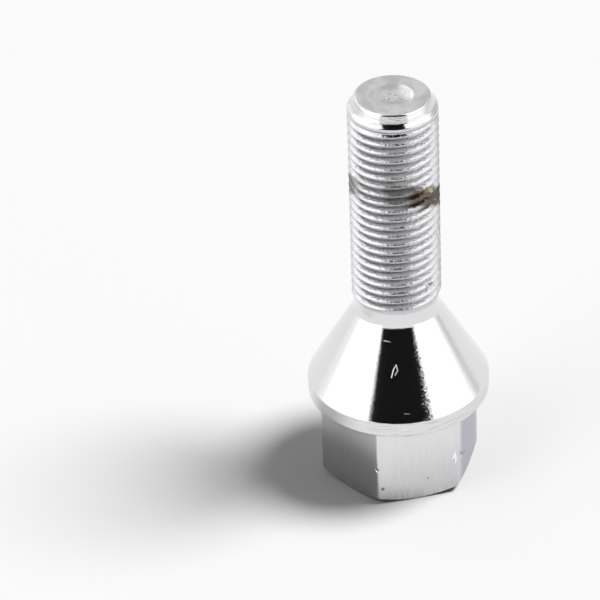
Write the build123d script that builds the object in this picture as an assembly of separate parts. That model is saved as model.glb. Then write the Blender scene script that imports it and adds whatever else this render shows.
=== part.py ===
from build123d import *
import math
import os

# A wheel lug bolt, forged in one piece and then thread-rolled: a hexagon head,
# a round collar, a conical seat, a plain neck and an M14 x 1.5 right-hand thread.
# Lengths are millimetres and angles are degrees. The bolt stands on its head: the
# middle of the head's end face is the origin and +Z runs up the axis to the tip.

# Hexagon head: the end chamfer starts HEX_END_INSET inside the flats
HEX_ACROSS_FLATS = 22.0
HEX_HEIGHT = 14.4
HEX_CORNER_ANGLE = 30.0
HEX_CORNER_RADIUS = 0.6
HEX_END_INSET = 0.2
HEX_END_ANGLE = 30.0
HEX_FOOT_FILLET = 0.8

# Collar, which stands out past the hexagon's sharp corners by COLLAR_LEDGE
COLLAR_LEDGE = 1.5
COLLAR_THICKNESS = 2.6
COLLAR_EDGE_RADIUS = 0.4

# Conical seat (included angle) and the plain neck, NECK_STEP below the crests
SEAT_ANGLE = 60.0
NECK_STEP = 0.4
NECK_LENGTH = 1.9
NECK_LIP = 0.1
NECK_FILLET = 3.0

# Metric thread, measured over its crests. Its first turns lie below the neck's end,
# where the run-out trims them off.
THREAD_DIAMETER = 13.9
THREAD_PITCH = 1.5
THREAD_LENGTH = 35.85
THREAD_FLANK_ANGLE = 60.0
THREAD_START_ANGLE = 10.0
LEAD_IN_TURNS = 1.25
RUN_OUT_ANGLE = 30.0

# Tip: its flat end lies TIP_INSIDE_ROOT inside the thread's root
TIP_INSIDE_ROOT = 0.23
TIP_CHAMFER_ANGLE = 30.0
DIMPLE_DIAMETER = 6.6
DIMPLE_DEPTH = 0.3

# Metric thread form: crest flat by the pitch, depth by the height of a sharp thread
CREST_SHARE = 1 / 8
DEPTH_SHARE = 17 / 24

# How far a solid reaches into or past its neighbour, so that the two meet cleanly
OVERLAP = 0.15


def slope(angle):
    """How far a line that leans by this angle moves sideways for each unit along."""
    return math.tan(math.radians(angle))


hex_corner = HEX_ACROSS_FLATS / math.sqrt(3)
collar_radius = hex_corner + COLLAR_LEDGE
collar_top = HEX_HEIGHT + COLLAR_THICKNESS
flank_slope = slope(THREAD_FLANK_ANGLE / 2)
thread_depth = DEPTH_SHARE * THREAD_PITCH / 2 / flank_slope
crest_radius = THREAD_DIAMETER / 2
root_radius = crest_radius - thread_depth
neck_radius = crest_radius - NECK_STEP
neck_base = collar_top + (collar_radius - neck_radius) / slope(SEAT_ANGLE / 2)
neck_top = neck_base + NECK_LENGTH
tip_z = neck_top + THREAD_LENGTH
tip_radius = root_radius - TIP_INSIDE_ROOT


def turned(face):
    """A solid turned about the axis from an outline drawn as radius by height."""
    return revolve(Plane.XZ * face, Axis.Z)


def rounded(face, radius, height, rounding):
    """The outline with its corner at this radius and height rounded off."""
    corner = face.vertices().sort_by_distance((radius, height, 0))[0]
    return fillet(corner, rounding)


def hexagon():
    """Hexagonal bar with slightly rounded corners and a chamfer turned on its end."""
    section = RegularPolygon(hex_corner, 6, rotation=HEX_CORNER_ANGLE)
    section = fillet(section.vertices(), HEX_CORNER_RADIUS)
    bar = extrude(section, HEX_HEIGHT + OVERLAP)
    end_radius = HEX_ACROSS_FLATS / 2 - HEX_END_INSET
    lift = (collar_radius - end_radius) * slope(HEX_END_ANGLE)
    outline = Polyline(
        (0, 0),
        (end_radius, 0),
        (collar_radius, lift),
        (collar_radius, collar_top),
        (0, collar_top),
        close=True,
    )
    return bar & turned(make_face(outline))


def turned_body():
    """Collar, cone and plain neck, which one turned outline makes."""
    outline = Polyline(
        (0, HEX_HEIGHT),
        (collar_radius, HEX_HEIGHT),
        (collar_radius, collar_top),
        (neck_radius, neck_base),
        (neck_radius, neck_top + NECK_LIP),
        (0, neck_top + NECK_LIP),
        close=True,
    )
    face = make_face(outline)
    face = rounded(face, neck_radius, neck_base, NECK_FILLET)
    face = rounded(face, collar_radius, collar_top, COLLAR_EDGE_RADIUS)
    face = rounded(face, collar_radius, HEX_HEIGHT, COLLAR_EDGE_RADIUS)
    return turned(face)


def with_foot_fillet(blank):
    """The blank with a fillet where the flats of the hexagon meet the collar."""
    level = blank.edges().filter_by(lambda edge: abs(edge.center().Z - HEX_HEIGHT) < OVERLAP)
    foot = level.filter_by(lambda edge: (edge @ 0).Z == (edge @ 1).Z)
    foot = foot.filter_by(lambda edge: Vector((edge @ 0).X, (edge @ 0).Y).length < hex_corner)
    return fillet(foot, HEX_FOOT_FILLET)


def thread_form():
    """One pitch of thread, as radius by height from the middle of its crest."""
    half_crest = CREST_SHARE * THREAD_PITCH / 2
    half_foot = half_crest + thread_depth * flank_slope
    return [
        (root_radius, -half_foot),
        (crest_radius, -half_crest),
        (crest_radius, half_crest),
        (root_radius, half_foot),
        (root_radius, THREAD_PITCH - half_foot),
    ]


def helix(radius, height):
    """One right-handed turn of the thread at this radius, from this height."""
    return Pos(0, 0, height) * Helix(pitch=THREAD_PITCH, height=THREAD_PITCH, radius=radius).edge()


def thread_turn():
    """The skin of one turn: lower flank, crest, upper flank and root, each helical."""
    helices = [helix(radius, height) for radius, height in thread_form()]
    return [Face.make_surface_from_curves(*pair) for pair in zip(helices, helices[1:])]


def rod_end():
    """What closes the rod below its first turn: a radial face and a helical ramp."""
    form = thread_form()
    low = form[0][1]
    high = form[-1][1]
    radial = make_face(Polyline((0, low), *form, (0, high), close=True))
    axis = Edge.make_line((0, 0, low), (0, 0, high))
    ramp = Face.make_surface_from_curves(axis, helix(root_radius, low))
    return [Plane.XZ * radial.face(), ramp]


def threaded_rod():
    """Turns of thread stacked from below the neck's end to past the tip, as one solid."""
    start_z = neck_top - LEAD_IN_TURNS * THREAD_PITCH
    turns = math.ceil((tip_z - start_z) / THREAD_PITCH) + 1
    turn = thread_turn()
    skin = [Pos(0, 0, count * THREAD_PITCH) * face for count in range(turns) for face in turn]
    ends = [Pos(0, 0, height) * face for height in (0, turns * THREAD_PITCH) for face in rod_end()]
    rod = Solid(Shell(skin + ends))
    return Pos(0, 0, start_z) * Rot(0, 0, THREAD_START_ANGLE) * rod


def thread_limits():
    """Turned space that the thread keeps to: it rises from the neck and ends in a chamfer."""
    inner = neck_radius - NECK_STEP
    bottom = neck_top - NECK_STEP / slope(RUN_OUT_ANGLE)
    outer = crest_radius + OVERLAP
    outline = Polyline(
        (0, bottom),
        (inner, bottom),
        (outer, neck_top + (outer - neck_radius) / slope(RUN_OUT_ANGLE)),
        (outer, tip_z - (outer - tip_radius) / slope(TIP_CHAMFER_ANGLE)),
        (tip_radius, tip_z),
        (0, tip_z),
        close=True,
    )
    return turned(make_face(outline))


def tip_dimple():
    """The shallow round hollow that heading leaves in the middle of the tip."""
    radius = (DIMPLE_DIAMETER ** 2 / 4 + DIMPLE_DEPTH ** 2) / (2 * DIMPLE_DEPTH)
    return Pos(0, 0, tip_z - DIMPLE_DEPTH + radius) * Sphere(radius)


def lug_bolt():
    """The whole bolt, one solid."""
    blank = with_foot_fillet(hexagon() + turned_body())
    return blank + (threaded_rod() & thread_limits()) - tip_dimple()


os.makedirs("parts", exist_ok=True)
export_step(lug_bolt(), "parts/lug_bolt.step")
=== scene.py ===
import bmesh
import bpy
import math
from mathutils import Matrix, Vector


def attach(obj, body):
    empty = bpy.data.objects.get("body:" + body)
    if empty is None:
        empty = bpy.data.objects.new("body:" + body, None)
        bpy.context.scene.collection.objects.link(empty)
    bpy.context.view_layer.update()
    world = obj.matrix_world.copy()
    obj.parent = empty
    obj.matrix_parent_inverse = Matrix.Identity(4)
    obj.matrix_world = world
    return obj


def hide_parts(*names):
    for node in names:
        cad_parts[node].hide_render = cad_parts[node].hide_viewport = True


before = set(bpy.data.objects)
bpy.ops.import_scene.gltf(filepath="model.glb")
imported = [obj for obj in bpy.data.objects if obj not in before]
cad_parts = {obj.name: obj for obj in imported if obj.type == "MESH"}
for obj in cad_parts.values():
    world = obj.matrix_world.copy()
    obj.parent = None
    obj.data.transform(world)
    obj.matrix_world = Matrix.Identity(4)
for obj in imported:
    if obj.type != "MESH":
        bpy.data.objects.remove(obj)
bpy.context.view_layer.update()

# The lug bolt
# One piece of steel. Its head is forged, its cone and its tip are turned on a lathe, and its
# thread is rolled. Bright chrome plate covers it all. It stands on its head with the tip up.

# One millimetre, in metres
MM = 0.001

# The head: a hexagon, and the collar above it
ACROSS_FLATS = 22.0 * MM
HEXAGON_TOP = 14.4 * MM
CORNER_ROUNDING = 0.6 * MM
END_RADIUS = 10.8 * MM
END_ANGLE = math.radians(30)
END_ROUNDING = 0.25 * MM
FOOT_FILLET = 0.8 * MM
COLLAR_RADIUS = 14.193 * MM
COLLAR_TOP = 17.0 * MM
COLLAR_ROUNDING = 0.4 * MM

# The conical seat and the neck
SEAT_LEAN = math.radians(30)
NECK_RADIUS = 6.55 * MM
NECK_FILLET = 3.0 * MM
NECK_TOP = 32.153 * MM

# The thread, from its run-out at the neck to the shoulder below the tip
PITCH = 1.5 * MM
CREST_RADIUS = 6.95 * MM
ROOT_RADIUS = 6.03 * MM
CREST_SHARE = 1 / 8
HALF_CREST = PITCH * CREST_SHARE / 2
CREST_ROUNDING = 0.07 * MM
FLANK_LEAN = math.radians(30)
FIRST_CREST = 30.237 * MM
TURNS = 26
RUN_OUT_ANGLE = math.radians(30)

# The grooves are filled at both ends of the thread: how far from each end the filling starts
# to fall and where it is gone
NECK_FILL = (0.7 * MM, 1.6 * MM)
TIP_FILL = (0.15 * MM, 1.3 * MM)

# The tip: the thread ends at a shoulder, and a slightly tapered nose stands on it
THREAD_END = 65.9 * MM
SHOULDER = 66.07 * MM
SHOULDER_LEAN = math.radians(48)
SHOULDER_ROUNDING = 0.3 * MM
NOSE_LEAN = math.radians(21)
TIP = 68.003 * MM
TIP_RADIUS = 5.80 * MM
TIP_ROUNDING = 0.36 * MM
DIMPLE_RADIUS = 3.3 * MM
DIMPLE_DEPTH = 0.3 * MM

# How finely the mesh follows the steel: columns round the axis, and steps in each rounded edge
SIDES = 6
CORNER_STEPS = 6
FLAT_STEPS = 24
COLUMNS = SIDES * (CORNER_STEPS + FLAT_STEPS)
END_FACE_STEPS = 2
END_EDGE_STEPS = 5
FOOT_STEPS = 7
COLLAR_FOOT_STEPS = 6
COLLAR_TOP_STEPS = 4
FILLET_STEPS = 10
CREST_STEPS = 2
ROOT_STEPS = 3
SHOULDER_STEPS = 5
HOLLOW_STEPS = 4
TIP_STEPS = 8

# Rings across each plain face, as shares of it, and how near to each other two points are one
END_RINGS = (0.3, 0.6, 0.85, 0.97)
FLAT_RINGS = (0.05, 0.35, 0.65, 0.95)
CONE_RINGS = (0.03, 0.25, 0.5, 0.75, 0.97)
NECK_RINGS = (0.6, 1.0)
NOSE_RINGS = (0.1, 0.5, 0.9)
TIP_RINGS = (0.9, 0.6, 0.3, 0.1)
DIMPLE_RINGS = (1.0, 0.92, 0.84, 0.72, 0.6, 0.48, 0.36, 0.24, 0.12)
WELD = 0.002 * MM


class Value:
    """A socket of a node tree, so that Python's own operators add its Math nodes."""

    def __init__(self, nodes, socket):
        self.nodes = nodes
        self.socket = socket

    def math(self, operation, *others):
        settings = {"operation": operation}
        return self.nodes.add("ShaderNodeMath", settings, [self, *others])

    def __add__(self, other):
        return self.math("ADD", other)

    def __sub__(self, other):
        return self.math("SUBTRACT", other)

    def __rsub__(self, other):
        return self * -1 + other

    def __mul__(self, other):
        return self.math("MULTIPLY", other)

    def __truediv__(self, other):
        return self.math("DIVIDE", other)

    def __mod__(self, other):
        return self.math("FLOORED_MODULO", other)

    def __abs__(self):
        return self.math("ABSOLUTE")

    __radd__ = __add__
    __rmul__ = __mul__

    def step(self, start, end):
        """0 before start and 1 after end, with a soft rise between them."""
        settings = {"interpolation_type": "SMOOTHSTEP"}
        inputs = {"Value": self, "From Min": start, "From Max": end}
        return self.nodes.add("ShaderNodeMapRange", settings, inputs)

    def between(self, start, end, soft):
        """1 from start to end, falling softly to 0 outside them."""
        return self.step(start - soft, start) * (1 - self.step(end, end + soft))


class Nodes:
    """A node tree, with one way to add any node and short ways for those used often."""

    def __init__(self, tree):
        self.tree = tree
        self.tree.nodes.clear()

    def add(self, kind, settings=None, inputs=None, output=0):
        """A node of this kind. Its settings come first, then values or links on its sockets."""
        node = self.tree.nodes.new(kind)
        for name, setting in (settings or {}).items():
            setattr(node, name, setting)
        pairs = inputs.items() if isinstance(inputs, dict) else enumerate(inputs or [])
        for name, given in pairs:
            if isinstance(given, Value):
                self.tree.links.new(given.socket, node.inputs[name])
            else:
                node.inputs[name].default_value = given
        return Value(self, node.outputs[output]) if len(node.outputs) else node

    def vector(self, operation, *inputs, output=0):
        """Vector Math on points, directions or colours."""
        return self.add("ShaderNodeVectorMath", {"operation": operation}, inputs, output)

    def separate(self, vector):
        """The three parts of a vector."""
        parts = self.add("ShaderNodeSeparateXYZ", inputs=[vector]).socket.node.outputs
        return [Value(self, part) for part in parts]

    def combine(self, *parts):
        """The vector with these three parts."""
        return self.add("ShaderNodeCombineXYZ", inputs=parts)

    def distance(self, place, point):
        """How far a place is from a point."""
        return self.vector("DISTANCE", place, point, output="Value")

    def noise(self, place, waves, detail):
        """Soft noise on both sides of 0, with this many waves along X, Y and Z."""
        inputs = {"Vector": self.vector("MULTIPLY", place, waves), "Scale": 1.0, "Detail": detail}
        return (self.add("ShaderNodeTexNoise", inputs=inputs) - 0.5) * 2

    def mix(self, share, first, second):
        """The first colour where share is 0 and the second where it is 1. The node's sockets are
        picked by number, because it has several with the same name."""
        sockets = {"Factor": 0, "A": 6, "B": 7, "Result": 2}
        inputs = {sockets["Factor"]: share, sockets["A"]: first, sockets["B"]: second}
        return self.add("ShaderNodeMix", {"data_type": "RGBA"}, inputs, sockets["Result"])


def arc(centre, radius, start, end, steps):
    """Points on a rounded edge, as radius by height. The angles are those of its normal."""
    angles = [start + (end - start) * k / steps for k in range(steps + 1)]
    return [(centre[0] + radius * math.cos(a), centre[1] + radius * math.sin(a)) for a in angles]


def bend(corner, rounding, before, after, steps):
    """Points that round off a corner of an outline, from one side's normal to the other's.

    A rounding below 0 fills a hollow corner.
    """
    middle = (before + after) / 2
    reach = rounding / math.cos((after - before) / 2)
    centre = (corner[0] - reach * math.cos(middle), corner[1] - reach * math.sin(middle))
    return arc(centre, rounding, before, after, steps)


def thread_form():
    """One pitch of the rolled thread, as radius by height from the middle of its crest."""
    full_round = (PITCH / 2 - HALF_CREST) / math.tan(FLANK_LEAN) - (CREST_RADIUS - ROOT_RADIUS)
    edge = math.pi / 2 - FLANK_LEAN
    tangent = CREST_ROUNDING * math.tan(edge / 2)
    crest_centre = (CREST_RADIUS - CREST_ROUNDING, HALF_CREST - tangent)
    crest = arc(crest_centre, CREST_ROUNDING, 0, edge, CREST_STEPS)
    root_centre = (ROOT_RADIUS + full_round, PITCH / 2)
    root = arc(root_centre, full_round, math.pi + edge, math.pi, ROOT_STEPS)
    flank = ((crest[-1][0] + root[0][0]) / 2, (crest[-1][1] + root[0][1]) / 2)
    upper = crest + [flank] + root
    return [(r, -z) for r, z in reversed(upper)] + upper


def form_mesh():
    """The thread form as loose points, for the winding to read."""
    mesh = bpy.data.meshes.new("thread_form")
    mesh.from_pydata([(r, 0, z) for r, z in thread_form()], [], [])
    return mesh


def winding_tree(material, sizes, counts):
    """Geometry nodes that wind the thread form up its helix and trim it at the neck and the tip."""
    tree = bpy.data.node_groups.new("wound_thread", "GeometryNodeTree")
    face = tree.interface
    face.new_socket("Thread form", in_out="INPUT", socket_type="NodeSocketGeometry")
    for name in sizes:
        face.new_socket(name, in_out="INPUT", socket_type="NodeSocketFloat")
    for name in counts:
        face.new_socket(name, in_out="INPUT", socket_type="NodeSocketInt")
    face.new_socket("Thread", in_out="OUTPUT", socket_type="NodeSocketGeometry")
    nodes = Nodes(tree)
    given = nodes.add("NodeGroupInput").socket.node.outputs
    size = {socket.name: Value(nodes, socket) for socket in given if socket.name}
    strip = nodes.add("GeometryNodeMeshGrid", inputs={
        "Vertices X": size["Turns"] * size["Columns"] + 1,
        "Vertices Y": size["Rows"],
    })
    index = nodes.add("GeometryNodeInputIndex")
    column = (index / size["Rows"]).math("FLOOR")
    place = nodes.add("GeometryNodeInputPosition")
    sample = {"data_type": "FLOAT_VECTOR", "domain": "POINT"}
    form = nodes.add("GeometryNodeSampleIndex", sample, {
        "Geometry": size["Thread form"],
        "Value": place,
        "Index": index % size["Rows"],
    })
    radius, _, rise = nodes.separate(form)
    height = size["First crest"] + size["Pitch"] * (column / size["Columns"]) + rise
    height = height.math("MAXIMUM", size["Neck top"]).math("MINIMUM", size["End"])
    above_neck = height - size["Neck top"]
    below_end = size["End"] - height
    near_neck = 1 - above_neck.step(size["Neck fill"], size["Neck fill end"])
    near_end = 1 - below_end.step(size["Tip fill"], size["Tip fill end"])
    at_neck = (size["Neck radius"] - size["Root radius"]) * near_neck
    at_end = (size["Crest radius"] - size["Root radius"]) * near_end
    filled = size["Root radius"] + at_neck + at_end
    run_out = size["Neck radius"] + above_neck * size["Run-out slope"]
    radius = radius.math("MAXIMUM", filled).math("MINIMUM", run_out)
    turn = column * math.tau / size["Columns"]
    x = radius * turn.math("COSINE")
    y = radius * turn.math("SINE")
    wound = nodes.add("GeometryNodeSetPosition", inputs={
        "Geometry": strip,
        "Position": nodes.combine(x, y, height),
    })
    weld = {"Geometry": wound, "Distance": size["Weld"]}
    welded = nodes.add("GeometryNodeMergeByDistance", inputs=weld)
    real = nodes.add("GeometryNodeRealizeInstances", inputs=[welded])
    plated = nodes.add("GeometryNodeSetMaterial", inputs={"Geometry": real, "Material": material})
    nodes.add("NodeGroupOutput", inputs=[plated])
    return tree


def wound_thread(material):
    """The thread as a mesh strip, closed turn to turn and open at the neck and the tip."""
    form = form_mesh()
    sizes = {
        "Pitch": PITCH,
        "First crest": FIRST_CREST,
        "Crest radius": CREST_RADIUS,
        "Root radius": ROOT_RADIUS,
        "Neck radius": NECK_RADIUS,
        "Neck top": NECK_TOP,
        "End": THREAD_END,
        "Run-out slope": math.tan(RUN_OUT_ANGLE),
        "Neck fill": NECK_FILL[0],
        "Neck fill end": NECK_FILL[1],
        "Tip fill": TIP_FILL[0],
        "Tip fill end": TIP_FILL[1],
        "Weld": WELD,
    }
    counts = {"Turns": TURNS, "Columns": COLUMNS, "Rows": len(form.vertices)}
    holder = bpy.data.objects.new("thread_form", form)
    bpy.context.scene.collection.objects.link(holder)
    winding = holder.modifiers.new("winding", "NODES")
    winding.node_group = winding_tree(material, sizes, counts)
    given = sizes | counts
    for item in winding.node_group.interface.items_tree:
        if item.name in given:
            winding[item.identifier] = given[item.name]
    evaluated = holder.evaluated_get(bpy.context.evaluated_depsgraph_get())
    thread = bpy.data.meshes.new_from_object(evaluated)
    bpy.data.objects.remove(holder)
    return thread


def polar(radius, angle):
    """A point at this distance from the axis, in this direction."""
    return Vector((math.cos(angle), math.sin(angle))) * radius


def hexagon_ring(outside, height):
    """A ring that lies this far outside the hexagon. The height may depend on the radius."""
    flat = ACROSS_FLATS / 2
    sharp = (flat - CORNER_ROUNDING) / math.cos(math.pi / SIDES)
    half = FLAT_STEPS // 2
    points = []
    for side in range(SIDES):
        facing = math.tau * side / SIDES
        corner = polar(sharp, facing + math.pi / SIDES)
        normals = [facing + math.tau * k / CORNER_STEPS / SIDES for k in range(CORNER_STEPS + 1)]
        edge = [corner + polar(CORNER_ROUNDING + outside, normal) for normal in normals]
        middle = polar(flat + outside, facing)
        next_middle = polar(flat + outside, facing + math.tau / SIDES)
        points += [middle.lerp(edge[0], k / half) for k in range(half)]
        points += edge[:-1]
        points += [edge[-1].lerp(next_middle, k / half) for k in range(half)]
    return [(p.x, p.y, height(p.length)) for p in points]


def turned_ring(radius, height):
    """A round ring."""
    turns = [math.tau * k / COLUMNS for k in range(COLUMNS)]
    return [(radius * math.cos(a), radius * math.sin(a), height) for a in turns]


def end_height(radius):
    """Height of the chamfer that is turned on the end of the hexagon."""
    return (radius - END_RADIUS) * math.tan(END_ANGLE)


def head_rings():
    """From the end face over its chamfer and up the hexagon to the ledge under the collar."""
    rings = [turned_ring(END_RADIUS * share, 0) for share in END_RINGS]
    chamfer = END_ANGLE - math.pi / 2
    face_edge = bend((END_RADIUS, 0), END_ROUNDING, -math.pi / 2, chamfer, END_FACE_STEPS)
    rings += [turned_ring(r, z) for r, z in face_edge]
    for outside, lift in bend((0, 0), END_ROUNDING, chamfer, 0, END_EDGE_STEPS):
        rings.append(hexagon_ring(outside, lambda r, o=outside, up=lift: end_height(r - o) + up))
    low = end_height(ACROSS_FLATS / math.sqrt(3))
    high = HEXAGON_TOP - FOOT_FILLET
    heights = [low + (high - low) * share for share in FLAT_RINGS]
    rings += [hexagon_ring(0, lambda r, z=z: z) for z in heights]
    foot = arc((FOOT_FILLET, high), FOOT_FILLET, math.pi, math.pi / 2, FOOT_STEPS)
    rings += [hexagon_ring(outside, lambda r, z=z: z) for outside, z in foot]
    return rings


def along(start, end, shares):
    """Points on a straight stretch of an outline, at these shares of the way."""
    return [tuple(a + (b - a) * share for a, b in zip(start, end)) for share in shares]


def body_outline():
    """Collar, cone and neck, as radius by height."""
    neck_base = COLLAR_TOP + (COLLAR_RADIUS - NECK_RADIUS) / math.tan(SEAT_LEAN)
    under = bend((COLLAR_RADIUS, HEXAGON_TOP), COLLAR_ROUNDING, -math.pi / 2, 0, COLLAR_FOOT_STEPS)
    over = bend((COLLAR_RADIUS, COLLAR_TOP), COLLAR_ROUNDING, 0, SEAT_LEAN, COLLAR_TOP_STEPS)
    fillet = bend((NECK_RADIUS, neck_base), -NECK_FILLET, SEAT_LEAN, 0, FILLET_STEPS)
    cone = along(over[-1], fillet[0], CONE_RINGS)
    neck = along(fillet[-1], (NECK_RADIUS, NECK_TOP), NECK_RINGS)
    return under + over + cone + fillet + neck


def tip_outline():
    """From the end of the thread over the shoulder and the nose to the middle of the tip."""
    nose_slope = math.tan(NOSE_LEAN)
    shoulder_slope = math.tan(SHOULDER_LEAN)
    ledge = CREST_RADIUS - TIP_RADIUS - (TIP - SHOULDER) * nose_slope
    rise = ledge / (shoulder_slope - nose_slope)
    hollow = (CREST_RADIUS - rise * shoulder_slope, SHOULDER + rise)
    outer = (CREST_RADIUS, SHOULDER)
    shoulder = bend(outer, SHOULDER_ROUNDING, 0, SHOULDER_LEAN, SHOULDER_STEPS)
    foot = bend(hollow, -SHOULDER_ROUNDING, SHOULDER_LEAN, NOSE_LEAN, HOLLOW_STEPS)
    edge = bend((TIP_RADIUS, TIP), TIP_ROUNDING, NOSE_LEAN, math.pi / 2, TIP_STEPS)
    nose = along(foot[-1], edge[0], NOSE_RINGS)
    flat = along((DIMPLE_RADIUS, TIP), edge[-1], TIP_RINGS)
    sphere = (DIMPLE_RADIUS ** 2 + DIMPLE_DEPTH ** 2) / (2 * DIMPLE_DEPTH)
    ball = TIP - DIMPLE_DEPTH + sphere
    radii = [DIMPLE_RADIUS * share for share in DIMPLE_RINGS]
    dimple = [(r, ball - math.sqrt(sphere ** 2 - r ** 2)) for r in radii]
    return [(CREST_RADIUS, THREAD_END)] + shoulder + foot + nose + edge + flat + dimple


def skin(bm, rings):
    """Faces between rings that follow each other."""
    rows = [[bm.verts.new(point) for point in ring] for ring in rings]
    for lower, upper in zip(rows, rows[1:]):
        for k in range(COLUMNS):
            after = (k + 1) % COLUMNS
            bm.faces.new((lower[k], lower[after], upper[after], upper[k]))
    return rows


def close_end(bm, ring, height):
    """A fan of faces from a ring to a point on the axis."""
    pole = bm.verts.new((0, 0, height))
    for k in range(COLUMNS):
        bm.faces.new((pole, ring[k], ring[(k + 1) % COLUMNS]))


def bolt_mesh(material):
    """The whole bolt as one closed mesh."""
    bm = bmesh.new()
    bm.from_mesh(wound_thread(material))
    head = skin(bm, head_rings() + [turned_ring(r, z) for r, z in body_outline()])
    close_end(bm, head[0], 0)
    tip = skin(bm, [turned_ring(r, z) for r, z in tip_outline()])
    close_end(bm, tip[-1], TIP - DIMPLE_DEPTH)
    bmesh.ops.remove_doubles(bm, verts=bm.verts, dist=WELD)
    bmesh.ops.recalc_face_normals(bm, faces=bm.faces)
    for face in bm.faces:
        face.smooth = True
    mesh = bpy.data.meshes.new("lug_bolt")
    bm.to_mesh(mesh)
    bm.free()
    mesh.materials.append(material)
    return mesh


# The plate: bright on turned faces, darker towards the bottom of the hexagon, dull in the rolled
# thread with painted shade in its roots, and a lilac tint with painted shade on one side of the
# hexagon
BRIGHT_PLATE = (0.76, 0.76, 0.77, 1)
FOOT_PLATE = (0.57, 0.57, 0.58, 1)
THREAD_PLATE = (0.61, 0.61, 0.625, 1)
# Painted shade in the roots of the thread
ROOT_SHADE = (0.22, 0.22, 0.235, 1)
# A lilac tint with painted shade, on one side of the hexagon
LILAC_TINT_AND_SHADE = (0.335, 0.335, 0.415, 1)
FRESH_METAL = (0.95, 0.95, 0.95, 1)
# Grime for specks, cracks and pits, also painted shade low on the hexagon and a darker tip
GRIME_AND_SHADE = (0.05, 0.05, 0.05, 1)

# Where each finish starts or ends, in millimetres from the end of the head
HEXAGON_END = 14.6
CONE_FOOT = 17.2
THREAD_FOOT = 32.3
THREAD_HEAD = 65.7
TIP_FACE = (67.0, 67.5)
SOFT = 0.2

# Fades on these finishes, in millimetres up the axis
FOOT_FADE = (0.0, 12.5)
# Painted shade low on the hexagon, next to the table
FOOT_SHADE_FADE = (0.3, 3.5)

# Fades in millimetres from the axis
TIP_EDGE = (5.5, 5.7)
DIMPLE_FADE = (3.0, 3.4)
PITS_FADE = (1.0, 2.6)
# Where the painted shade in the roots of the thread fades out
ROOT_FADE = (6.1, 6.6)

# The lilac tint and painted shade fade in millimetres along Y and along X
LILAC_SHADE_FADE = (6.6, 8.2)
LILAC_SHADE_BACK = (-4.0, 3.0)

# How far round the bolt the painted shade in the roots of the thread lightens, and by how much,
# and where the cone is worn most. It counts from -1 on one side of the bolt to 1 on the other.
LIGHTER_ROOT_SIDE = (-0.9, 0.5)
LIGHTER_ROOT_SHARE = 0.75
WORN_LINE = (0.06, 0.10)
WORN_EDGE = 0.08

# The grain of each finish: waves in a millimetre along X, Y and Z, and the finer detail in them
GRAIN = {
    "orange peel": ((1.1, 1.1, 1.1), 2.0),
    "turning": ((0.35, 0.35, 5.0), 3.0),
    "wear": ((1.2, 1.2, 3.0), 3.0),
    "flecks": ((0.9, 0.9, 3.5), 3.0),
    "rim": ((0.3, 0.3, 3.8), 3.0),
    "streaks": ((2.4, 2.4, 0.35), 3.0),
    "pitting": ((2.6, 2.6, 2.6), 2.0),
    "rolling": ((1.8, 1.8, 2.4), 4.0),
    "blotches": ((1.1, 1.1, 1.6), 3.0),
}

# Between these heights of its grain, each of these goes from none to full
RIM_LEVELS = (-0.1, 0.5)
NOSE_LEVELS = (-0.3, 0.4)
FLECK_LEVELS = (0.3, 0.7)
PIT_LEVELS = (0.02, 0.22)
GLINT_LEVELS = (0.06, 0.24)
# Painted shade low on the hexagon, next to the table, in streaks
FOOT_SHADE_LEVELS = (-0.3, 0.6)
GOLD_LEVELS = (0.0, 0.3)

# How strongly grain and marks show in the colour
STREAKED = 0.3
NOSE_STREAKED = 0.9
LILAC_SHADE_UNEVEN = 0.3
ROLLED = 0.3
SPECK_DARK = 0.85
CRACK_DARK = 0.9
PIT_DARK = 0.3
PIT_BRIGHT = 0.35
TIP_DARK = 0.04
# Painted shade low on the hexagon, next to the table
FOOT_SHADE_DARK = 0.35

# How high or deep grain and marks are, in millimetres
PEEL_HEIGHT = 0.002
TURNING_HEIGHT = 0.004
WEAR_HEIGHT = 0.005
WORN_LINE_HEIGHT = 0.014
RIM_HEIGHT = 0.035
STREAK_HEIGHT = 0.006
ROLLING_HEIGHT = 0.048
TIP_HEIGHT = 0.003
NOSE_HEIGHT = 0.007
PIT_DEPTH = 0.035
DENT_DEPTH = 0.2
SCRATCH_DEPTH = 0.04
CRACK_DEPTH = 0.05
NICK_DEPTH = 0.05

# Roughness of the brightest plate, and what each finish and mark adds to it
BRIGHT_ROUGHNESS = 0.085
HEXAGON_ROUGHER = 0.07
RIM_ROUGHER = 0.05
THREAD_ROUGHER = 0.02
TIP_ROUGHER = 0.18
DIMPLE_SMOOTHER = 0.17
PEEL_ROUGHER = 0.015
FLECKS_ROUGHER = 0.3
SCRATCH_ROUGHER = 0.25
NICK_ROUGHER = 0.2
SCORCH_ROUGHER = 0.1

# Marks of handling, in millimetres: dents and dark specks with their sizes. The core of each
# is this share of it.
SPOT_CORE = 0.2
DENTS = (
    ((10.7, -6.5, 6.6), 0.4),
    ((5.95, 3.5, 36.55), 0.5),
)
SPECKS = (
    ((11.0, -5.7, 3.0), 0.45),
    ((11.0, 1.6, 3.6), 0.22),
    ((5.55, 4.1, 36.3), 0.6),
    ((6.4, -2.4, 41.0), 0.25),
)

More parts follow.
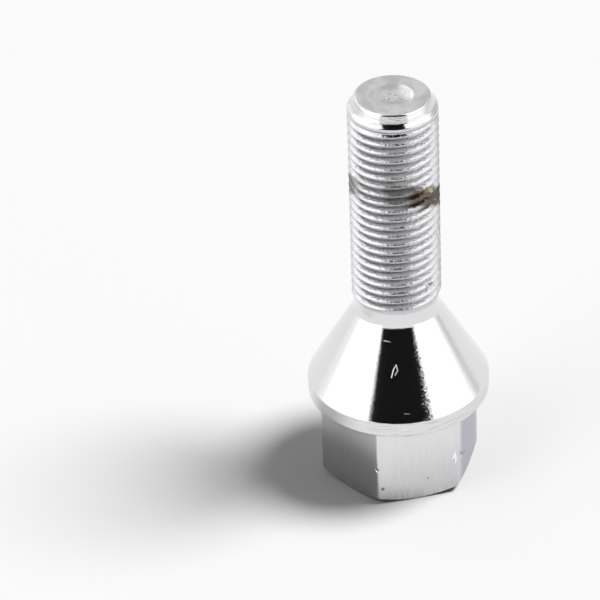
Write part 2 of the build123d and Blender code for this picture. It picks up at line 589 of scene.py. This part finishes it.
# Scratches, nicks and cracks run straight from point to point, each with its strength
SCRATCHES = (
    ((9.92, -3.65, 23.26), (9.44, -3.18, 24.35), 1.0),
    ((9.44, -3.18, 24.35), (9.23, -2.67, 24.95), 0.7),
    ((9.23, -2.67, 24.95), (9.74, -2.58, 24.15), 0.6),
    ((9.74, -2.58, 24.15), (9.94, -3.09, 23.56), 0.5),
    ((6.74, -3.90, 28.1), (7.31, -3.02, 28.0), 0.6),
    ((13.15, -2.61, 18.35), (13.36, -1.71, 18.24), 0.2),
    ((10.99, 3.49, 11.36), (10.99, 4.44, 8.98), 0.15),
)
SCRATCH_WIDTH = 0.09
NICKS = (
    ((11.0, 6.25, 8.9), (11.0, 6.1, 7.6), 0.4),
    ((11.0, 6.05, 7.5), (11.0, 5.75, 6.7), 1.0),
    ((11.0, 6.2, 6.9), (11.0, 6.15, 5.8), 1.0),
)
NICK_WIDTH = 0.35
NICK_RAGGED = 0.3
NICK_EDGE = (0.35, 0.6)
CRACKS = (
    ((9.5, 7.2, 6.4), (8.3, 7.9, 5.2), 1.0),
    ((8.3, 7.9, 5.2), (7.1, 8.6, 4.6), 0.7),
    ((7.1, 8.6, 4.6), (6.2, 9.1, 3.6), 0.35),
)
CRACK_WIDTH = 0.3

# A scorched ring round the thread, such as the wire leaves that holds a bolt while it is plated.
# It is tilted, black on one side of the bolt and faint in front.
SCORCH_TILT = (-0.400, 0.286, 1.0)
SCORCH_HEIGHT = 51.22
SCORCH_SPREAD = (1.2, 2.3)
SCORCH_RAGGED = 0.8
SCORCH_FAINT = 0.15
SCORCH_FRONT = {"from": (-4.0, -2.2), "adds": 0.3}
SCORCH_SIDE = {"from": (-0.5, 1.8), "adds": 0.5}
SCORCH_FAR_SIDE = {"until": (-6.9, -5.9), "adds": 0.7}
SCORCH_BROWN = (0.075, 0.056, 0.042, 1)
SCORCH_GOLD = (0.34, 0.28, 0.14, 1)
GOLD_SIDE = (3.0, 5.2)
GOLD_EDGE = 1.0


def spots(nodes, point, marks):
    """1 in the middle of each mark, falling to 0 at its edge."""
    total = 0.0
    for centre, size in marks:
        total = total + (1 - nodes.distance(point, centre).step(size * SPOT_CORE, size))
    return total


def lines(nodes, point, marks, width):
    """The strength of each straight mark along it, falling to 0 at this distance from it."""
    total = 0.0
    for start, end, strength in marks:
        way = Vector(end) - Vector(start)
        gone = nodes.vector("SUBTRACT", point, start)
        share = nodes.vector("DOT_PRODUCT", gone, tuple(way / way.length_squared), output="Value")
        share = share.math("MAXIMUM", 0.0).math("MINIMUM", 1.0)
        nearest = nodes.combine(*[share * part for part in way])
        total = total + (1 - nodes.distance(gone, nearest).step(0.0, width)) * strength
    return total


class Place:
    """Where a point lies on the bolt, in millimetres, and how much each finish covers it."""

    def __init__(self, nodes):
        metres = nodes.add("ShaderNodeTexCoord", output="Object")
        self.point = nodes.vector("MULTIPLY", metres, (1 / MM, 1 / MM, 1 / MM))
        self.x, self.y, self.z = nodes.separate(self.point)
        outward = nodes.combine(self.x, self.y, 0.0)
        self.from_axis = nodes.vector("LENGTH", outward, output="Value")
        self.round = self.y / self.from_axis
        self.hexagon = 1 - self.z.step(HEXAGON_END - SOFT, HEXAGON_END)
        self.rim = self.z.between(HEXAGON_END, CONE_FOOT - SOFT, SOFT)
        self.cone = self.z.between(CONE_FOOT, THREAD_FOOT - SOFT, SOFT)
        self.thread = self.z.between(THREAD_FOOT, THREAD_HEAD, SOFT)
        self.nose = self.z.step(THREAD_HEAD, THREAD_HEAD + SOFT)
        self.tip = self.z.step(*TIP_FACE) * (1 - self.from_axis.step(*TIP_EDGE))
        self.dimple = self.tip * (1 - self.from_axis.step(*DIMPLE_FADE))
        self.pitted = self.tip * (1 - self.from_axis.step(*PITS_FADE))


def scorch(nodes, on, grain):
    """How dark the scorched ring is."""
    height = nodes.vector("DOT_PRODUCT", on.point, SCORCH_TILT, output="Value")
    height = height + grain["blotches"] * SCORCH_RAGGED
    ring = 1 - abs(height - SCORCH_HEIGHT).step(*SCORCH_SPREAD)
    front = on.y.step(*SCORCH_FRONT["from"]) * SCORCH_FRONT["adds"]
    side = on.y.step(*SCORCH_SIDE["from"]) * SCORCH_SIDE["adds"]
    far_side = (1 - on.y.step(*SCORCH_FAR_SIDE["until"])) * SCORCH_FAR_SIDE["adds"]
    return on.thread * ring * (front + side + far_side + SCORCH_FAINT)


def marks_of_use(nodes, on, grain):
    """How much each kind of mark covers a point."""
    nicks = lines(nodes, on.point, NICKS, NICK_WIDTH) + grain["pitting"] * NICK_RAGGED
    return {
        "specks": spots(nodes, on.point, SPECKS),
        "dents": spots(nodes, on.point, DENTS),
        "scratches": lines(nodes, on.point, SCRATCHES, SCRATCH_WIDTH),
        "cracks": lines(nodes, on.point, CRACKS, CRACK_WIDTH),
        "nicks": nicks.step(*NICK_EDGE),
        "pits": on.pitted * grain["pitting"].step(*PIT_LEVELS),
        "glints": on.pitted * (grain["pitting"] * -1).step(*GLINT_LEVELS),
        # Painted shade low on the hexagon, next to the table, broken by streaks
        "foot": (1 - on.z.step(*FOOT_SHADE_FADE)) * grain["streaks"].step(*FOOT_SHADE_LEVELS),
        "scorch": scorch(nodes, on, grain),
    }


def plate_colour(nodes, on, grain, marks):
    """The plate's tones, painted shade, and the scorched ring, grime and bare metal over them."""
    # Darker towards the bottom of the hexagon, with streaks on the hexagon, rim and nose
    plate_tone = on.z.step(*FOOT_FADE) + on.hexagon * grain["streaks"] * STREAKED
    plate_tone = plate_tone - on.rim * grain["rim"].step(*RIM_LEVELS)
    plate_tone = plate_tone - on.nose * grain["turning"].step(*NOSE_LEVELS) * NOSE_STREAKED
    colour = nodes.mix(plate_tone, FOOT_PLATE, BRIGHT_PLATE)
    # A lilac tint with painted shade on one side of the hexagon
    lilac_shaded = on.hexagon * on.y.step(*LILAC_SHADE_FADE)
    uneven = on.y.step(*LILAC_SHADE_FADE) * on.x.step(*LILAC_SHADE_BACK) + grain["blotches"] * LILAC_SHADE_UNEVEN
    colour = nodes.mix(lilac_shaded * uneven, colour, LILAC_TINT_AND_SHADE)
    # Painted shade in the roots of the thread, stronger on one side of the bolt
    root_shade_side = 1 - on.round.step(*LIGHTER_ROOT_SIDE) * LIGHTER_ROOT_SHARE
    shaded_root = (1 - on.from_axis.step(*ROOT_FADE)) * root_shade_side
    thread = nodes.mix(shaded_root + grain["rolling"] * ROLLED, THREAD_PLATE, ROOT_SHADE)
    colour = nodes.mix(on.thread, colour, thread)
    gold = grain["blotches"].step(*GOLD_LEVELS) * on.y.between(*GOLD_SIDE, GOLD_EDGE)
    colour = nodes.mix(marks["scorch"], colour, nodes.mix(gold, SCORCH_BROWN, SCORCH_GOLD))
    # Grime from specks, cracks and pits, painted shade low on the hexagon, and a darker tip
    grime_and_shade = marks["specks"] * SPECK_DARK + marks["cracks"] * CRACK_DARK + marks["pits"] * PIT_DARK
    grime_and_shade = grime_and_shade + marks["foot"] * FOOT_SHADE_DARK + on.tip * TIP_DARK
    colour = nodes.mix(grime_and_shade, colour, GRIME_AND_SHADE)
    return nodes.mix(marks["nicks"] + marks["glints"] * PIT_BRIGHT, colour, FRESH_METAL)


def plate_relief(on, grain, marks):
    """How far the surface stands out, in millimetres."""
    worn = on.round.between(*WORN_LINE, WORN_EDGE) * WORN_LINE_HEIGHT + WEAR_HEIGHT
    relief = grain["orange peel"] * PEEL_HEIGHT
    relief = relief + on.cone * (grain["turning"] * TURNING_HEIGHT + grain["wear"] * worn)
    relief = relief + on.rim * grain["rim"] * RIM_HEIGHT
    relief = relief + on.hexagon * grain["streaks"] * STREAK_HEIGHT
    relief = relief + on.thread * grain["rolling"] * ROLLING_HEIGHT
    relief = relief + on.nose * (grain["turning"] + grain["wear"]) * NOSE_HEIGHT
    relief = relief + on.tip * grain["pitting"] * TIP_HEIGHT
    relief = relief - marks["pits"] * PIT_DEPTH - marks["dents"] * DENT_DEPTH
    relief = relief - marks["scratches"] * SCRATCH_DEPTH - marks["cracks"] * CRACK_DEPTH
    return relief - marks["nicks"] * NICK_DEPTH


def plate_roughness(on, grain, marks):
    """How rough the surface is, from 0 for a mirror to 1."""
    roughness = on.hexagon * HEXAGON_ROUGHER + on.rim * RIM_ROUGHER + on.thread * THREAD_ROUGHER
    roughness = roughness + on.tip * TIP_ROUGHER - on.dimple * DIMPLE_SMOOTHER
    roughness = roughness + on.cone * grain["flecks"].step(*FLECK_LEVELS) * FLECKS_ROUGHER
    roughness = roughness + grain["orange peel"] * PEEL_ROUGHER + marks["scorch"] * SCORCH_ROUGHER
    roughness = roughness + marks["scratches"] * SCRATCH_ROUGHER + marks["nicks"] * NICK_ROUGHER
    return roughness + BRIGHT_ROUGHNESS


def chrome():
    """Bright chrome plate, with the marks of turning, rolling, forging and use."""
    material = bpy.data.materials.new("chrome_plate")
    material.use_nodes = True
    nodes = Nodes(material.node_tree)
    on = Place(nodes)
    grain = {name: nodes.noise(on.point, *waves) for name, waves in GRAIN.items()}
    marks = marks_of_use(nodes, on, grain)
    relief = plate_relief(on, grain, marks)
    shader = nodes.add("ShaderNodeBsdfPrincipled", inputs={
        "Base Color": plate_colour(nodes, on, grain, marks),
        "Metallic": 1.0,
        "Roughness": plate_roughness(on, grain, marks),
        "Normal": nodes.add("ShaderNodeBump", inputs={"Distance": MM, "Height": relief}),
    })
    nodes.add("ShaderNodeOutputMaterial", inputs=[shader])
    return material


def with_even_shading(mesh):
    """The mesh with normals weighted by face size, so that flats stay flat beside rounded edges."""
    holder = bpy.data.objects.new("shading", mesh)
    bpy.context.scene.collection.objects.link(holder)
    holder.modifiers.new("weighting", "WEIGHTED_NORMAL")
    evaluated = holder.evaluated_get(bpy.context.evaluated_depsgraph_get())
    shaded = bpy.data.meshes.new_from_object(evaluated)
    bpy.data.objects.remove(holder)
    return shaded


bolt = bpy.data.objects.new("chromed_lug_bolt", with_even_shading(bolt_mesh(chrome())))
bpy.context.scene.collection.objects.link(bolt)
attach(bolt, "root")
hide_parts("lug_bolt")

# Floor
# A plain pale tabletop of painted board, which the bolt stands on. It is far wider than the
# view, so that the chrome has a table to mirror all round.

FLOOR_RADIUS = 2.5
FLOOR_SIDES = 96
FLOOR_COLOUR = (0.159, 0.159, 0.159, 1)
FLOOR_ROUGHNESS = 0.9


def floor_paint():
    """Flat paint without any shine. It is darker than it looks, because its lamps are strong."""
    material = bpy.data.materials.new("floor_paint")
    material.use_nodes = True
    nodes = Nodes(material.node_tree)
    shader = nodes.add("ShaderNodeBsdfPrincipled", inputs={
        "Base Color": FLOOR_COLOUR,
        "Roughness": FLOOR_ROUGHNESS,
        "Specular IOR Level": 0.0,
    })
    nodes.add("ShaderNodeOutputMaterial", inputs=[shader])
    return material


def floor_mesh():
    """A flat disc."""
    bm = bmesh.new()
    bmesh.ops.create_circle(bm, cap_ends=True, segments=FLOOR_SIDES, radius=FLOOR_RADIUS)
    mesh = bpy.data.meshes.new("floor")
    bm.to_mesh(mesh)
    bm.free()
    mesh.materials.append(floor_paint())
    return mesh


floor = bpy.data.objects.new("floor", floor_mesh())
bpy.context.scene.collection.objects.link(floor)

# Camera
# It stands a long way off with a long lens, and looks down at the bolt as the photograph does.
# Lens and sensor are in millimetres.

AIM = Vector((-3.70, -14.54, 30.9)) * MM
CAMERA_DISTANCE = 710.7 * MM
CAMERA_AZIMUTH = math.radians(-12.82)
CAMERA_HEIGHT_ANGLE = math.radians(34.56)
CAMERA_ROLL = math.radians(-2.08)
LENS = 274.98
SENSOR = 36.0
FARTHEST = 10.0


def direction(across, up):
    """The way to a place at this angle round the bolt and this angle above the floor."""
    level = polar(math.cos(up), across)
    return Vector((level.x, level.y, math.sin(up)))


camera = bpy.data.objects.new("camera", bpy.data.cameras.new("camera"))
camera.data.lens = LENS
camera.data.sensor_width = SENSOR
camera.data.clip_end = FARTHEST
away = direction(CAMERA_AZIMUTH, CAMERA_HEIGHT_ANGLE)
aimed = away.to_track_quat("Z", "Y").to_matrix().to_4x4()
spot = Matrix.Translation(AIM + away * CAMERA_DISTANCE)
camera.matrix_world = spot @ aimed @ Matrix.Rotation(CAMERA_ROLL, 4, "Z")
bpy.context.scene.collection.objects.link(camera)
bpy.context.scene.camera = camera

# Light
# A tent of white cloth with a grey top and a dark gap where the camera looks in. Lamps behind
# the cloth make bright panels, and two soft lamps shine on the table alone, so that the chrome
# has shadows to mirror.

# How bright each part of the tent is, and where it ends. Across and up are angles in degrees,
# from the camera's side and from the table.
TENT_SIDE = 1.45
TENT_BACK = 0.74
TENT_TOP = 0.45
TENT_FRONT = 0.008
TENT_FOOT = 1.0
GAP_HALF_WIDTH = 38
GAP_BOTTOM = 14
SIDE_END = 100
TOP_START = 74
EDGE = 3
BACK_EDGE = 9
PANEL_EDGE = 6
PANELS = (
    {"added": 0.7, "across": (-172, -84), "up": (26, 72)},
    {"added": 0.6, "across": (96, 150), "up": (28, 72)},
    {"added": 0.35, "across": (-150, -100), "up": (-10, 28)},
)
TABLE_LAMPS = {
    "key_lamp": {"power": 17.3, "across": 97, "up": 57, "width": 27},
    "fill_lamp": {"power": 1.6, "across": -58, "up": 50, "width": 30},
}


def table_lamp(name, lamp):
    """A soft lamp whose light falls on the table but isn't mirrored in the chrome."""
    light = bpy.data.lights.new(name, "SUN")
    light.energy = lamp["power"]
    light.angle = math.radians(lamp["width"])
    across = CAMERA_AZIMUTH + math.radians(lamp["across"])
    toward = direction(across, math.radians(lamp["up"]))
    holder = bpy.data.objects.new(name, light)
    holder.matrix_world = toward.to_track_quat("Z", "Y").to_matrix().to_4x4()
    holder.visible_glossy = False
    bpy.context.scene.collection.objects.link(holder)


def tent():
    """The light that comes from each direction."""
    world = bpy.data.worlds.new("light_tent")
    world.use_nodes = True
    bpy.context.scene.world = world
    nodes = Nodes(world.node_tree)
    x, y, z = nodes.separate(nodes.add("ShaderNodeTexCoord"))
    ahead = x * math.cos(CAMERA_AZIMUTH) + y * math.sin(CAMERA_AZIMUTH)
    right = y * math.cos(CAMERA_AZIMUTH) - x * math.sin(CAMERA_AZIMUTH)
    across = right.math("ARCTAN2", ahead).math("DEGREES")
    up = z.math("ARCSINE").math("DEGREES")
    in_gap = 1 - abs(across).step(GAP_HALF_WIDTH - EDGE, GAP_HALF_WIDTH + EDGE)
    over_foot = up.step(GAP_BOTTOM - EDGE, GAP_BOTTOM)
    at_back = abs(across).step(SIDE_END - BACK_EDGE, SIDE_END + BACK_EDGE)
    at_top = up.step(TOP_START - EDGE, TOP_START + EDGE)
    gap = TENT_FOOT + (TENT_FRONT - TENT_FOOT) * over_foot
    wall = TENT_SIDE + (TENT_BACK - TENT_SIDE) * at_back
    for panel in PANELS:
        wide = across.between(*panel["across"], PANEL_EDGE)
        tall = up.between(*panel["up"], PANEL_EDGE)
        wall = wall + wide * tall * panel["added"]
    wall = wall + (gap - wall) * in_gap
    level = wall + (TENT_TOP - wall) * at_top
    light = nodes.add("ShaderNodeBackground", inputs={"Color": (1, 1, 1, 1), "Strength": level})
    nodes.add("ShaderNodeOutputWorld", inputs=[light])


tent()
for name, lamp in TABLE_LAMPS.items():
    table_lamp(name, lamp)
bpy.context.scene.view_settings.view_transform = "Standard"
